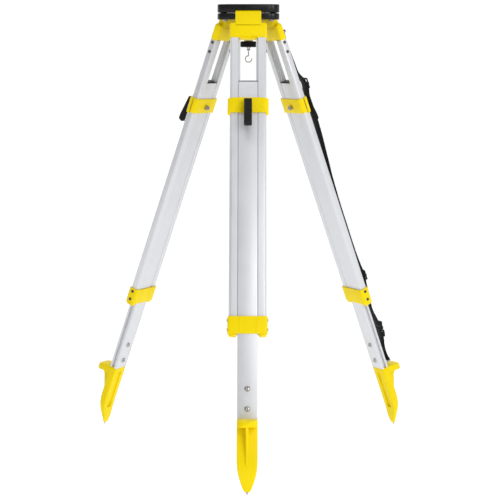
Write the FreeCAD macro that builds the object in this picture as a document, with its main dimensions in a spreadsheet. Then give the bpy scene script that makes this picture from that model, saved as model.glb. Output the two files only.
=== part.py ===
import FreeCAD, Part
import os
import re
import Sketcher

# A surveyor's telescopic tripod: a three-lobed head with a captive 5/8 inch instrument screw,
# and three legs, each two aluminium rails with a flat tube sliding between them.
# Millimetres. The origin is the centre of the head's top face, +Z is up, and the front leg
# points along -Y. Each leg is modelled in its own frame: x across the leg, y outward,
# and z up along the leg from the hinge pin, so a place d below the pin is at z = -d.

SIZES = [
    # head
    ("head_side", 50, "axis to each flat side"),
    ("side_half", 51.5, "half the length of a flat side"),
    ("side_corner", 3, "corner between a flat side and a lobe"),
    ("lobe_circle", 59, "axis to the middle of each lobe"),
    ("lobe_radius", 17, "lobe radius"),
    ("head_bore", 26, "radius of the hole that the screw moves in"),
    ("top_thick", 17.6, "upper plate"),
    ("plate_gap", 2, "gap between the plates"),
    ("head_thick", 33, "both plates and the gap"),
    ("thread_end", 8, "top face to the ends of the head bolts"),
    ("bolt_radius", 3, "head bolts"),
    ("bolt_head", 5, "radius of a bolt head"),
    ("bolt_head_thick", 4, "height of a bolt head"),
    # hinge
    ("hinge_radius", 44, "axis to each hinge pin"),
    ("hinge_drop", 19, "top face to the pins"),
    ("lean", 20.95, "angle of a leg from the vertical"),
    ("pin_radius", 3, "hinge pin"),
    ("pin_length", 94, "hinge pin"),
    ("run_gap", 0.05, "radial clearance of a turning fit"),
    ("face_gap", 0.3, "clearance between faces that slide"),
    ("knuckle", 6, "radius of the bracket round its pin"),
    ("neck_half", 28.3, "half the bracket's neck"),
    ("neck_back", 18, "start of the slope on the neck's inner side"),
    ("neck_front", 4, "start of the slope on its outer side"),
    ("neck_foot", 30, "bottom of the neck, inside the block"),
    ("slot_half", 28.9, "half the slot that holds the neck"),
    ("slot_back", 35.5, "axis to the slot's back wall"),
    ("slot_roof", 12.5, "top face to the slot's roof"),
    # captive screw
    ("arm_top", 37, "depth of the arm below the top face"),
    ("arm_thick", 4, "arm"),
    ("arm_half", 14, "half the arm's width"),
    ("arm_neck", 8, "half the arm's width at its pivot"),
    ("arm_reach", 21, "how far the arm passes the axis"),
    ("arm_wide_end", 42, "where the arm narrows"),
    ("shift_play", 8.4, "travel of the bushing each way"),
    ("bush_radius", 8, "bushing barrel"),
    ("flange_radius", 12, "bushing flange"),
    ("flange_thick", 2.5, "bushing flange"),
    ("lip_thick", 1.8, "bushing's top lip, from the arm"),
    ("stud_radius", 7.9375, "5/8 inch thread, outside"),
    ("stud_top", 1, "depth of the stud's end"),
    ("stud_length", 23, "threaded length"),
    ("spindle_radius", 6, "plain shank"),
    ("sleeve_radius", 10, "thrust sleeve"),
    ("sleeve_top", 57, "depth of the sleeve's top"),
    ("knob_radius", 18, "knurled knob"),
    ("knob_top", 80, "depth of the knob's top"),
    ("knob_foot", 93, "depth of the knob's underside"),
    ("boss_foot", 94, "depth of the boss under the knob"),
    ("eye_drop", 98.5, "depth of the hook's pivot"),
    ("eye_pin", 1, "radius of the hook's pivot pin"),
    ("lug_inner", 1.6, "half the space between the lugs"),
    ("lug_outer", 3.6, "half the width over the lugs"),
    ("lug_half", 2.5, "half the width of a lug"),
    ("hook_eye", 2.6, "hook eye radius"),
    ("hook_wire", 1.2, "hook wire radius"),
    ("hook_ring", 7, "hook bend radius"),
    ("hook_drop", 119, "depth of the hook's bend"),
    # leg
    ("mid", 1.6, "hinge line to the leg's middle plane"),
    ("rail_half", 39.5, "half the width over both rails"),
    ("rail_inner", 21.4, "half the space between the rails"),
    ("rail_thick", 18.6, "rail, front to back"),
    ("rail_wall", 1.8, "wall of a rail"),
    ("rail_corner", 6, "outer corner of a rail"),
    ("rail_top", 61.5, "start of the rails, against the bracket"),
    ("rail_foot", 712, "end of the rails"),
    ("tongue_tip", 17, "half the space between the tongues"),
    ("tongue_thick", 6, "tongue, front to back"),
    ("tube_half", 21, "half the inner tube's width"),
    ("tube_thick", 17.6, "inner tube, front to back"),
    ("tube_wall", 1.6, "wall of the inner tube"),
    ("tube_corner", 1.2, "corner of the inner tube"),
    ("tube_top", 163, "top of the inner tube"),
    ("tube_foot", 893, "bottom of the inner tube"),
    ("groove_floor", 16.6, "half the width between the tube's grooves"),
    ("groove_half", 3.4, "half the width of a groove"),
    ("cap_thick", 3, "tube cap"),
    ("slide_gap", 0.4, "clearance of a sliding fit"),
    # bracket at the top of a leg
    ("shoulder", 24.5, "top of the bracket's block"),
    ("bracket_foot", 61.5, "bottom of the block"),
    ("bracket_half", 41, "half the block's width"),
    ("bracket_thick", 16, "block, front to back"),
    ("bracket_corner", 5, "corners of the block"),
    ("notch_half", 19, "half the cut in the block's front edge"),
    ("notch_top", 58.5, "top of that cut"),
    ("side_screw", 2, "radius of a side screw"),
    ("side_head", 3.6, "radius of its head"),
    ("side_head_thick", 1.5, "height of its head"),
    ("screw_inner", 29, "half the space between the ends of the side screws"),
    ("spigot_foot", 100, "end of the spigots inside the rails"),
    # collar at the bottom of the rails
    ("collar_top", 679, "top of the collar"),
    ("collar_foot", 716, "bottom of the collar"),
    ("collar_half", 41.9, "half the collar's width"),
    ("collar_thick", 24, "collar, front to back"),
    ("collar_corner", 6.5, "outer corner of the collar"),
    ("collar_lobe_in", 24, "inner edge of the lobes under the collar"),
    ("collar_lobe_out", 39, "outer edge of the lobes"),
    ("collar_lobe_foot", 721, "bottom of the lobes"),
    # quick clamp
    ("clamp_top", 200, "top of the clamp"),
    ("clamp_foot", 234, "bottom of the clamp"),
    ("clamp_half", 44.2, "half the clamp's width"),
    ("clamp_face", 12.4, "middle plane to each face"),
    ("clamp_corner", 9, "outer corner of the clamp"),
    ("clamp_split", 1.5, "half the gap between the clamp's halves"),
    ("lobe_foot", 237, "bottom of the clamp plate's side lobes"),
    ("lobe_inner", 37, "start of the side lobes"),
    ("ridge_half", 38, "half the rib across the clamp plate"),
    ("pad_half", 12, "half the pad against the tube"),
    ("draw_radius", 3, "draw bolt and foot bolts"),
    ("nut_radius", 6, "their nuts"),
    ("nut_thick", 10, "nut behind the clamp"),
    ("foot_bolt_end", 12, "middle plane to the ends of the foot bolts"),
    ("pivot_out", 24.7, "middle plane to the lever's pin"),
    ("pivot_drop", 219.5, "lever pin and draw bolt"),
    ("cam_radius", 12, "lever's cam"),
    ("lever_half", 8.5, "half the lever's width"),
    ("eye_half", 3.6, "half the width of the bolt's eye"),
    ("eye_radius", 5.2, "bolt's eye"),
    # foot
    ("foot_top", 893, "shoulder under the tube"),
    ("foot_half", 21.5, "half the foot's width"),
    ("shank_top", 815, "end of the shank inside the tube"),
    ("screw_one", 831, "first foot bolt"),
    ("screw_two", 872.5, "second foot bolt"),
    ("pedal_half", 20, "half the step pedal's width"),
    ("pedal_round", 22, "radius of the pedal's outer edge, seen from above"),
    ("pedal_centre", 26.5, "middle plane to the centre of that radius"),
    ("rib_half", 3, "half the rib under the pedal"),
    ("recess_half", 8, "half the recess in the back of the foot"),
    ("recess_floor", 6, "middle plane to the recess's floor"),
    ("recess_top", 903, "top of the recess"),
    ("recess_foot", 1000, "bottom of the recess"),
    ("toe_foot", 1040, "bottom of the plastic foot"),
    ("spike_pin", 1.6, "radius of the spike inside the foot"),
    ("spike_grip", 25, "length of the spike inside the foot"),
    ("spike_base", 2.6, "radius of the spike under the foot"),
    ("spike_point", 0.8, "radius of its tip"),
    ("spike_foot", 1045.5, "spike tip"),
    ("spike_lean", 13, "spike axis inside the middle plane"),
    # carry strap
    ("strap_half", 12.5, "half the webbing's width"),
    ("strap_thick", 1.6, "webbing"),
    ("slider_in", 9.1, "far edge of the sliders"),
    ("slider_out", 37, "near edge of the sliders"),
    ("buckle_far", 14, "far edge of the buckle"),
    ("buckle_near", 18, "near edge of the buckle"),
    ("buckle_in", 22, "middle plane to the buckle's inner face"),
    ("loop_half", 15, "half the length of a wire loop"),
    ("loop_sheet", 1.2, "loop plate"),
    ("loop_foot", 5, "half the height of a loop's plate"),
    ("loop_bar", 1.7, "radius of a loop's bar"),
]

LEGS = {"front": -90, "right": 30, "left": 150}
LOBES = (-30, 90, 210)
SIDE_SCREWS = (68, 90)
COLLAR_SCREWS = (686, 706)

# Side-view outlines, each corner as (outward from the leg's middle plane, depth below the hinge pin).
LEVER = [(24.7, 207.8), (32.5, 209.6), (35.8, 215), (43.3, 262), (42.3, 268), (39, 271.5), (32.6, 271.5),
         (28.6, 268), (27.1, 262), (22.6, 242), (17, 229), (22.6, 223)]
PEDAL = [(7, 893.5), (24, 896.5), (40, 900.5), (46, 903.5), (48.5, 908), (46.5, 912.5), (40, 915), (28, 913), (7, 911)]
RIB = [(7, 905), (43, 912), (43, 915), (35, 919), (30, 923), (25, 937), (18, 955), (7, 990)]

# The foot's blade at each depth: half its width, and its inner and outer faces from the middle plane.
BLADE = [("foot_top", "foot_half", -9.5, 9.5), (980, "foot_half", -9, 8), (1004, 19, -11, 1.5),
         (1022, 14, -15, -6), (1034, 9, -16.5, -10), ("toe_foot", 5.5, -16, -10.4)]

# The carry strap at each depth: its middle across the right leg, and its inner face from the middle plane.
STRAP = [(46, 13, 12.2), (85, 17, 11), (118, 22, 11), (146, 22, 13), (162, 22, 21), (176, 22, 25.4), (190, 22, 24),
         (204, 22, 20.4), (262, 22, 21.4), (298, 22, 20.1), (337, 22, 17.3), (375, 22, 14.5),
         (400, 22, 12.6), (463, 22, 10.4), (564, 22, 10.2),
         (600, 22, 11), (632, 22, 13.2), (652, 22, 16), (672, 22, 13.2), (717, 17, 12.6), (735, 10, 14),
         (752, 5, 17.5), (778, 2, 24), (806, 2, 25.5), (836, 2, 21.5), (856, 1, 19.5), (870, 0, 20.5), (884, 0, 24.4)]
# inner and outer faces, and the depths of the top and bottom, of each slider
SLIDERS = [(23.5, 29.5, 163, 188), (14.8, 20, 641, 664)]
# the buckle's two halves: depth and outer face at the top and at the bottom of each
BUCKLE = [((782, 29), (802, 32)), ((802, 30), (824, 34))]
# the strap's two wire loops: the face they stand on, and the bar's distance out, depth and middle across
LOOPS = {"strap_top_loop": ("bracket_thick / 2", 17.2, 48, 13),
         "strap_foot_loop": ("tube_thick / 2", 22.5, 884, 0)}

doc = FreeCAD.newDocument("SurveyTripod")
sheet = doc.addObject("Spreadsheet::Sheet", "Dims")
for row, (alias, value, note) in enumerate(SIZES, 1):
    sheet.set(f"A{row}", note)
    sheet.set(f"B{row}", str(value))
    sheet.setAlias(f"B{row}", alias)
doc.recompute()
D = {alias: float(sheet.get(alias)) for alias, _, _ in SIZES}
pieces = []


# ---- helpers -------------------------------------------------------------------------------

def bind(thing, prop, size):
    """Ties a property to a sum of the sheet's cells, written with their aliases."""
    words = re.sub(r"[a-z_]+", lambda m: "Dims." + m.group() if m.group() in D else m.group(), str(size))
    thing.setExpression(prop, words)


def place(thing, x, y, z):
    for axis, size in zip("xyz", (x, y, z)):
        bind(thing, f"Placement.Base.{axis}", size)
    return thing


def block(name, x, y, z):
    """A box from its (low, high) span on each axis."""
    box = doc.addObject("Part::Box", name)
    for prop, (low, high) in zip(("Length", "Width", "Height"), (x, y, z)):
        bind(box, prop, f"({high}) - ({low})")
    return place(box, x[0], y[0], z[0])


def rod(name, axis, radius, span, at):
    """A cylinder along an axis, from its (low, high) span and its place across that axis."""
    turn = {"X": ((0, 1, 0), 90), "Y": ((1, 0, 0), -90), "Z": ((0, 0, 1), 0)}[axis]
    bar = doc.addObject("Part::Cylinder", name)
    bar.Placement = FreeCAD.Placement(FreeCAD.Vector(), FreeCAD.Rotation(FreeCAD.Vector(*turn[0]), turn[1]))
    bind(bar, "Radius", radius)
    bind(bar, "Height", f"({span[1]}) - ({span[0]})")
    a, b = at
    spot = {"X": (span[0], a, b), "Y": (a, span[0], b), "Z": (a, b, span[0])}[axis]
    return place(bar, *spot)


def taper(name, top, foot):
    """A frustum down a leg between two stations, each (depth, x span, y span)."""
    wedge = doc.addObject("Part::Wedge", name)
    wedge.Placement = FreeCAD.Placement(FreeCAD.Vector(), FreeCAD.Rotation(FreeCAD.Vector(1, 0, 0), -90))
    (start, (x1, x2), (y1, y2)), (end, (x3, x4), (y3, y4)) = top, foot
    spans = {"Ymin": start, "Xmin": x1, "Xmax": x2, "Zmin": y1, "Zmax": y2,
             "Ymax": end, "X2min": x3, "X2max": x4, "Z2min": y3, "Z2max": y4}
    for prop, size in spans.items():
        bind(wedge, prop, size)
    return wedge


def profile(name, points, half):
    """A body padded both ways from a closed outline of (y, z) corners in the leg's side view."""
    body = doc.addObject("PartDesign::Body", name)
    sketch = body.newObject("Sketcher::SketchObject", name + "_outline")
    plane = [f for f in body.Origin.OriginFeatures if f.Role == "YZ_Plane"][0]
    sketch.AttachmentSupport = [(plane, "")]
    sketch.MapMode = "FlatFace"
    count = len(points)
    spots = [FreeCAD.Vector(*[number(p) for p in point], 0) for point in points]
    for i in range(count):
        sketch.addGeometry(Part.LineSegment(spots[i], spots[(i + 1) % count]), False)
    for i in range(count):
        following = (i + 1) % count
        sketch.addConstraint(Sketcher.Constraint("Coincident", i, 2, following, 1))
    for i, point in enumerate(points):
        for kind, size in zip(("DistanceX", "DistanceY"), point):
            index = sketch.addConstraint(Sketcher.Constraint(kind, -1, 1, i, 1, number(size)))
            bind(sketch, f"Constraints[{index}]", size)
    pad = body.newObject("PartDesign::Pad", name + "_pad")
    pad.Profile = sketch
    pad.Midplane = True
    bind(pad, "Length", f"2 * ({half})")
    return body


def side_view(outline):
    return [(f"mid + {out}", f"-{depth}") for out, depth in outline]


def number(size):
    """The value of an expression of the sheet's aliases, for placing a sketch before it is solved."""
    total = 0.0
    for sign, word in re.findall(r"([+-]?)\s*([\w.]+)", str(size)):
        value = D[word] if word in D else float(word)
        total += -value if sign == "-" else value
    return total


def fuse(name, *things):
    joined = doc.addObject("Part::MultiFuse", name)
    joined.Shapes = list(things)
    return joined


def cut(name, base, *tools):
    rest = doc.addObject("Part::Cut", name)
    rest.Base = base
    rest.Tool = tools[0] if len(tools) == 1 else fuse(name + "_tools", *tools)
    return rest


def rounded(name, base, radius, wanted):
    """Rounds the straight edges for which wanted(direction, midpoint) holds."""
    doc.recompute()
    edges = []
    for index, edge in enumerate(base.Shape.Edges, 1):
        if edge.Curve.TypeId != "Part::GeomLine":
            continue
        first, last = edge.Vertexes[0].Point, edge.Vertexes[-1].Point
        if wanted((last - first).normalize(), (first + last) * 0.5):
            edges.append((index, radius, radius))
    soft = doc.addObject("Part::Fillet", name)
    soft.Base = base
    soft.Edges = edges
    return soft


def wrap(name, thing, angle=0):
    """A copy that can be given a placement of its own, turned about the head's axis."""
    group = doc.addObject("Part::Compound", name)
    group.Links = [thing]
    group.Placement = FreeCAD.Placement(FreeCAD.Vector(), FreeCAD.Rotation(FreeCAD.Vector(0, 0, 1), angle))
    return group


def around(name, thing, azimuths):
    """Copies of a thing made on +Y, one at each azimuth."""
    return [wrap(f"{name}_{i}", thing, azimuth - 90) for i, azimuth in enumerate(azimuths)]


def keep(thing, label, placement=None):
    """Names a finished piece, and puts it in place."""
    thing.Label = label
    if placement is not None:
        thing.Placement = placement
    pieces.append(thing)
    return thing


def pair(sign, low, high):
    """The same span on the +x side, or mirrored on the -x side."""
    return (low, high) if sign > 0 else (f"-({high})", f"-({low})")


def leg_placement(azimuth):
    across = FreeCAD.Rotation(FreeCAD.Vector(0, 0, 1), azimuth - 90)
    tilt = FreeCAD.Rotation(FreeCAD.Vector(1, 0, 0), D["lean"])
    pin = across.multVec(FreeCAD.Vector(0, D["hinge_radius"], -D["hinge_drop"]))
    return FreeCAD.Placement(pin, across.multiply(tilt))


# ---- head ----------------------------------------------------------------------------------

def head_layer(name, low, high):
    side = block(name + "_side", ("-side_half", "side_half"), (0, "head_side"), (low, high))
    side = rounded(name + "_side_soft", side, D["side_corner"],
                   lambda way, spot: abs(way.z) > 0.9 and spot.y > D["head_side"] - 0.1)
    lobe = rod(name + "_lobe", "Z", "lobe_radius", (low, high), (0, "lobe_circle"))
    return fuse(name + "_blank", *around(name + "_sides", side, LEGS.values()),
                *around(name + "_lobes", lobe, LOBES))


def pin_grooves(name):
    groove = rod(name, "X", "pin_radius", ("-pin_length / 2", "pin_length / 2"),
                 ("hinge_radius", "-hinge_drop"))
    return around(name + "s", groove, LEGS.values())


def bolt_holes(name, low, high):
    hole = rod(name, "Z", "bolt_radius", (low, high), (0, "lobe_circle"))
    return around(name + "s", hole, LOBES)


def make_head():
    top = head_layer("top", "-top_thick", 0)
    bore = rod("top_bore", "Z", "head_bore", ("-head_thick", 1), (0, 0))
    slot = block("top_slot", ("-slot_half", "slot_half"), ("slot_back", "head_side + 5"),
                 ("-head_thick", "-slot_roof"))
    keep(cut("head_plate", top, bore, *around("top_slots", slot, LEGS.values()),
             *pin_grooves("top_groove"), *bolt_holes("top_hole", "-head_thick", "-thread_end")), "head_plate")

    lower = head_layer("lower", "-head_thick", "-(top_thick + plate_gap)")
    bore = rod("lower_bore", "Z", "head_bore", ("-(head_thick + 1)", 0), (0, 0))
    slot = block("lower_slot", ("-slot_half", "slot_half"), ("slot_back", "head_side + 5"),
                 ("-(head_thick + 1)", 0))
    keep(cut("hinge_clamp_plate", lower, bore, *around("lower_slots", slot, LEGS.values()),
             *pin_grooves("lower_groove"), *bolt_holes("lower_hole", "-(head_thick + 1)", 0)),
         "hinge_clamp_plate")

    keep(fuse("hinge_pins", *pin_grooves("hinge_pin")), "hinge_pins")


def make_head_bolts():
    middle = (0, "lobe_circle")
    shank = rod("clamp_shank", "Z", "bolt_radius", ("-(head_thick + 1)", "-thread_end"), middle)
    head = rod("clamp_head", "Z", "bolt_head", ("-(head_thick + bolt_head_thick)", "-head_thick"), middle)
    plain = fuse("clamp_screw", shank, head)
    under = "(arm_top + arm_thick + face_gap)"
    long_shank = rod("pivot_shank", "Z", "bolt_radius", (f"-({under} + 1)", "-thread_end"), middle)
    spacer = rod("pivot_spacer", "Z", "bolt_head", ("-arm_top + face_gap", "-head_thick"), middle)
    nut = rod("pivot_nut", "Z", "bolt_head", (f"-({under} + bolt_head_thick)", f"-{under}"), middle)
    pivot = fuse("pivot_screw", long_shank, spacer, nut)
    keep(fuse("head_bolts", *around("clamp_screws", plain, (-30, 210)), pivot), "head_bolts")


def make_arm():
    level = ("-(arm_top + arm_thick)", "-arm_top")
    beyond = ("-(arm_top + arm_thick + 1)", "-(arm_top - 1)")
    wide = block("arm_wide", ("-arm_half", "arm_half"), ("-arm_reach", "arm_wide_end"), level)
    neck = block("arm_strip", ("-arm_neck", "arm_neck"), ("arm_wide_end - 1", "lobe_circle"), level)
    end = rod("arm_end", "Z", "arm_neck", level, (0, "lobe_circle"))
    slot = block("arm_slot", ("-(bush_radius + run_gap)", "bush_radius + run_gap"),
                 ("-shift_play", "shift_play"), beyond)
    slot_ends = [rod(f"arm_slot_end_{i}", "Z", "bush_radius + run_gap", beyond, (0, y))
                 for i, y in enumerate(("-shift_play", "shift_play"))]
    hole = rod("arm_hole", "Z", "bolt_radius + run_gap", beyond, (0, "lobe_circle"))
    keep(cut("screw_arm", fuse("arm_blank", wide, neck, end), slot, *slot_ends, hole), "screw_arm")

    barrel = rod("bush_barrel", "Z", "bush_radius", beyond, (0, 0))
    flange = rod("bush_flange", "Z", "flange_radius",
                 ("-(arm_top + arm_thick + face_gap + flange_thick)", "-(arm_top + arm_thick + face_gap)"), (0, 0))
    lip = rod("bush_lip", "Z", "flange_radius - 1", ("-(arm_top - face_gap)", "-(arm_top - lip_thick)"), (0, 0))
    bore = rod("bush_bore", "Z", "spindle_radius + run_gap", ("-(knob_top)", 0), (0, 0))
    keep(cut("slot_bushing", fuse("bush_blank", barrel, flange, lip), bore), "slot_bushing")


def make_screw():
    sleeve = rod("sleeve_body", "Z", "sleeve_radius", ("-(knob_top - face_gap)", "-sleeve_top"), (0, 0))
    bore = rod("sleeve_bore", "Z", "spindle_radius + run_gap", ("-(knob_top + 1)", "-(sleeve_top - 1)"), (0, 0))
    keep(cut("screw_sleeve", sleeve, bore), "screw_sleeve")

    stud_foot = "-(stud_top + stud_length)"
    stud = rod("stud", "Z", "stud_radius", (stud_foot, "-stud_top"), (0, 0))
    spindle = rod("spindle", "Z", "spindle_radius", ("-knob_foot", stud_foot), (0, 0))
    boss = rod("hook_boss", "Z", "spindle_radius", ("-boss_foot", "-knob_foot"), (0, 0))
    lugs = [block(f"hook_lug_{i}", pair(sign, "lug_inner", "lug_outer"), ("-lug_half", "lug_half"),
                  ("-(eye_drop + lug_half)", "-(knob_foot + 0.5)")) for i, sign in enumerate((-1, 1))]
    pivot = rod("hook_pin", "X", "eye_pin", ("-(lug_inner + 0.5)", "lug_inner + 0.5"), (0, "-eye_drop"))
    keep(fuse("instrument_screw", stud, spindle, boss, *lugs, pivot), "instrument_screw")

    knob = rod("knob_body", "Z", "knob_radius", ("-knob_foot", "-knob_top"), (0, 0))
    bore = rod("knob_bore", "Z", "spindle_radius", ("-(knob_foot + 1)", "-(knob_top - 1)"), (0, 0))
    keep(cut("screw_knob", knob, bore), "screw_knob")


def make_hook():
    eye = doc.addObject("Part::Torus", "eye_ring")
    bind(eye, "Radius1", "hook_eye")
    bind(eye, "Radius2", "eye_pin")
    eye.Placement.Rotation = FreeCAD.Rotation(FreeCAD.Vector(0, 1, 0), 90)
    place(eye, 0, 0, "-(eye_drop + face_gap)")
    bend = doc.addObject("Part::Torus", "hook_bend")
    bind(bend, "Radius1", "hook_ring")
    bind(bend, "Radius2", "hook_wire")
    bend.Angle3 = 300
    facing = FreeCAD.Rotation(FreeCAD.Vector(1, 0, 0), 90)
    bend.Placement.Rotation = facing.multiply(FreeCAD.Rotation(FreeCAD.Vector(0, 0, 1), 70))
    place(bend, 0, 0, "-hook_drop")
    stem = rod("hook_stem", "Z", "hook_wire", ("-(hook_drop - hook_ring)", "-(eye_drop + 2.5)"), (0, 0))
    keep(fuse("plumb_hook", eye, bend, stem), "plumb_hook")


# ---- upper leg -----------------------------------------------------------------------------

def side_screw(name, depth, sign, start, end):
    return rod(name, "X", "side_screw", pair(sign, start, end), ("mid", f"-{depth}"))


def side_holes(name, depths, start):
    return [side_screw(f"{name}_{depth}_{i}", depth, sign, start, "collar_half + 3")
            for depth in depths for i, sign in enumerate((-1, 1))]


def make_bracket(leg, at):
    edge = ("mid - bracket_thick / 2", "mid + bracket_thick / 2")
    body = block(f"bracket_body_{leg}", ("-bracket_half", "bracket_half"), edge, ("-bracket_foot", "-shoulder"))
    body = rounded(f"bracket_soft_{leg}", body, D["bracket_corner"],
                   lambda way, spot: abs(spot.x) > D["bracket_half"] - 0.1 and
                   (abs(way.z) > 0.9 or spot.z > -D["shoulder"] - 0.1))
    neck = profile(f"bracket_neck_{leg}",
                   [("-knuckle", 0), ("-knuckle", "-neck_back"), (edge[0], "-neck_foot"), (edge[1], "-neck_foot"),
                    (edge[1], "-shoulder"), ("knuckle", "-neck_front"), ("knuckle", 0)], "neck_half")
    knuckle = rod(f"bracket_knuckle_{leg}", "X", "knuckle", ("-neck_half", "neck_half"), (0, 0))
    blank = fuse(f"bracket_blank_{leg}", body, neck, knuckle)
    notch = block(f"bracket_notch_{leg}", ("-notch_half", "notch_half"), ("mid", "mid + bracket_thick"),
                  ("-(bracket_foot + 1)", "-notch_top"))
    bore = rod(f"bracket_bore_{leg}", "X", "pin_radius + run_gap", ("-slot_half", "slot_half"), (0, 0))
    cast = cut(f"bracket_cast_{leg}", blank, notch, bore)
    snug = "rail_wall + face_gap"
    spigots = []
    for i, sign in enumerate((-1, 1)):
        spigot = block(f"bracket_spigot_{leg}_{i}", pair(sign, f"rail_inner + {snug}", f"rail_half - ({snug})"),
                       (f"mid - rail_thick / 2 + {snug}", f"mid + rail_thick / 2 - ({snug})"),
                       ("-spigot_foot", "-(bracket_foot - 1)"))
        spigots.append(rounded(f"bracket_peg_{leg}_{i}", spigot, D["rail_corner"] - D["rail_wall"],
                               lambda way, spot: abs(way.z) > 0.9 and abs(spot.x) > D["screw_inner"]))
    keep(cut(f"leg_bracket_{leg}", fuse(f"bracket_whole_{leg}", cast, *spigots),
             *side_holes(f"bracket_hole_{leg}", SIDE_SCREWS, "screw_inner")), f"leg_bracket_{leg}", at)


def make_rail(leg, at, sign, label):
    name = f"{label}_{leg}"
    edge = ("mid - rail_thick / 2", "mid + rail_thick / 2")
    length = ("-rail_foot", "-rail_top")
    outer = block(name + "_outer", pair(sign, "rail_inner", "rail_half"), edge, length)
    outer = rounded(name + "_soft", outer, D["rail_corner"],
                    lambda way, spot: abs(way.z) > 0.9 and abs(spot.x) > D["rail_half"] - 0.1)
    tongue = block(name + "_tongue", pair(sign, "tongue_tip", "rail_inner + 0.5"),
                   ("mid - tongue_thick / 2", "mid + tongue_thick / 2"), length)
    hollow = block(name + "_hollow", pair(sign, "rail_inner + rail_wall", "rail_half - rail_wall"),
                   ("mid - rail_thick / 2 + rail_wall", "mid + rail_thick / 2 - rail_wall"),
                   ("-(rail_foot + 1)", "-(rail_top - 1)"))
    hollow = rounded(name + "_hollow_soft", hollow, D["rail_corner"] - D["rail_wall"],
                     lambda way, spot: abs(way.z) > 0.9 and abs(spot.x) > D["rail_half"] - D["rail_wall"] - 0.1)
    keep(cut(name, fuse(name + "_blank", outer, tongue), hollow,
             *side_holes(name + "_hole", SIDE_SCREWS + COLLAR_SCREWS, "screw_inner")), name, at)


def make_side_screws(leg, at):
    screws = []
    for depth in SIDE_SCREWS + COLLAR_SCREWS:
        face = "rail_half" if depth in SIDE_SCREWS else "collar_half"
        for i, sign in enumerate((-1, 1)):
            name = f"side_screw_{leg}_{depth}_{i}"
            head = rod(name + "_head", "X", "side_head", pair(sign, face, f"{face} + side_head_thick"),
                       ("mid", f"-{depth}"))
            screws.append(fuse(name, side_screw(name + "_shank", depth, sign, "screw_inner", f"{face} + 1"), head))
    keep(fuse(f"side_screws_{leg}", *screws), f"side_screws_{leg}", at)


def make_collar(leg, at):
    edge = ("mid - collar_thick / 2", "mid + collar_thick / 2")
    blank = block(f"collar_blank_{leg}", ("-collar_half", "collar_half"), edge, ("-collar_foot", "-collar_top"))
    blank = rounded(f"collar_soft_{leg}", blank, D["collar_corner"], lambda way, spot: abs(way.z) > 0.9)
    lobes = [block(f"collar_lobe_{leg}_{i}", pair(sign, "collar_lobe_in", "collar_lobe_out"),
                   ("mid - rail_thick / 2", "mid + rail_thick / 2"), ("-collar_lobe_foot", "-(collar_foot - 1)"))
             for i, sign in enumerate((-1, 1))]
    socket = block(f"collar_socket_{leg}", ("-rail_half", "rail_half"),
                   ("mid - rail_thick / 2", "mid + rail_thick / 2"), ("-rail_foot", "-(collar_top - 1)"))
    mouth = block(f"collar_mouth_{leg}", ("-(tube_half + slide_gap)", "tube_half + slide_gap"),
                  ("mid - tube_thick / 2 - slide_gap", "mid + tube_thick / 2 + slide_gap"),
                  ("-(collar_lobe_foot + 1)", "-(rail_foot - 1)"))
    keep(cut(f"lower_collar_{leg}", fuse(f"collar_whole_{leg}", blank, *lobes), socket, mouth,
             *side_holes(f"collar_hole_{leg}", COLLAR_SCREWS, "screw_inner")), f"lower_collar_{leg}", at)


# ---- lower leg -----------------------------------------------------------------------------

def cross_bolt(name, depth, radius, low=-30, high=30):
    """A rod straight through the leg, between two places measured from its middle plane."""
    return rod(name, "Y", radius, (f"mid + {low}", f"mid + {high}"), (0, f"-{depth}"))


def tube_grooves(name, length):
    return [block(f"{name}_{i}", pair(sign, "groove_floor", "tube_half + 1"),
                  ("mid - groove_half", "mid + groove_half"), length) for i, sign in enumerate((-1, 1))]


def make_tube(leg, at):
    length = ("-tube_foot", "-tube_top")
    beyond = ("-(tube_foot + 1)", "-(tube_top - cap_thick - 1)")
    half = "groove_floor - tube_wall"
    outer = block(f"tube_outer_{leg}", ("-tube_half", "tube_half"),
                  ("mid - tube_thick / 2", "mid + tube_thick / 2"), length)
    outer = rounded(f"tube_soft_{leg}", outer, D["tube_corner"], lambda way, spot: abs(way.z) > 0.9)
    hollow = block(f"tube_hollow_{leg}", (f"-({half})", half),
                   ("mid - tube_thick / 2 + tube_wall", "mid + tube_thick / 2 - tube_wall"), beyond)
    holes = [cross_bolt(f"tube_hole_{leg}_{depth}", depth, "draw_radius")
             for depth in ("screw_one", "screw_two", "pivot_drop")]
    keep(cut(f"inner_tube_{leg}", outer, hollow, *tube_grooves(f"tube_groove_{leg}", beyond), *holes),
         f"inner_tube_{leg}", at)

    lid = block(f"cap_lid_{leg}", ("-tube_half", "tube_half"), ("mid - tube_thick / 2", "mid + tube_thick / 2"),
                ("-tube_top", "-(tube_top - cap_thick)"))
    plug = block(f"cap_plug_{leg}", (f"-({half})", half),
                 ("mid - tube_thick / 2 + tube_wall", "mid + tube_thick / 2 - tube_wall"),
                 ("-(tube_top + 12)", "-(tube_top - 1)"))
    keep(cut(f"tube_cap_{leg}", fuse(f"cap_blank_{leg}", lid, plug), *tube_grooves(f"cap_groove_{leg}", beyond)),
         f"tube_cap_{leg}", at)


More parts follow.
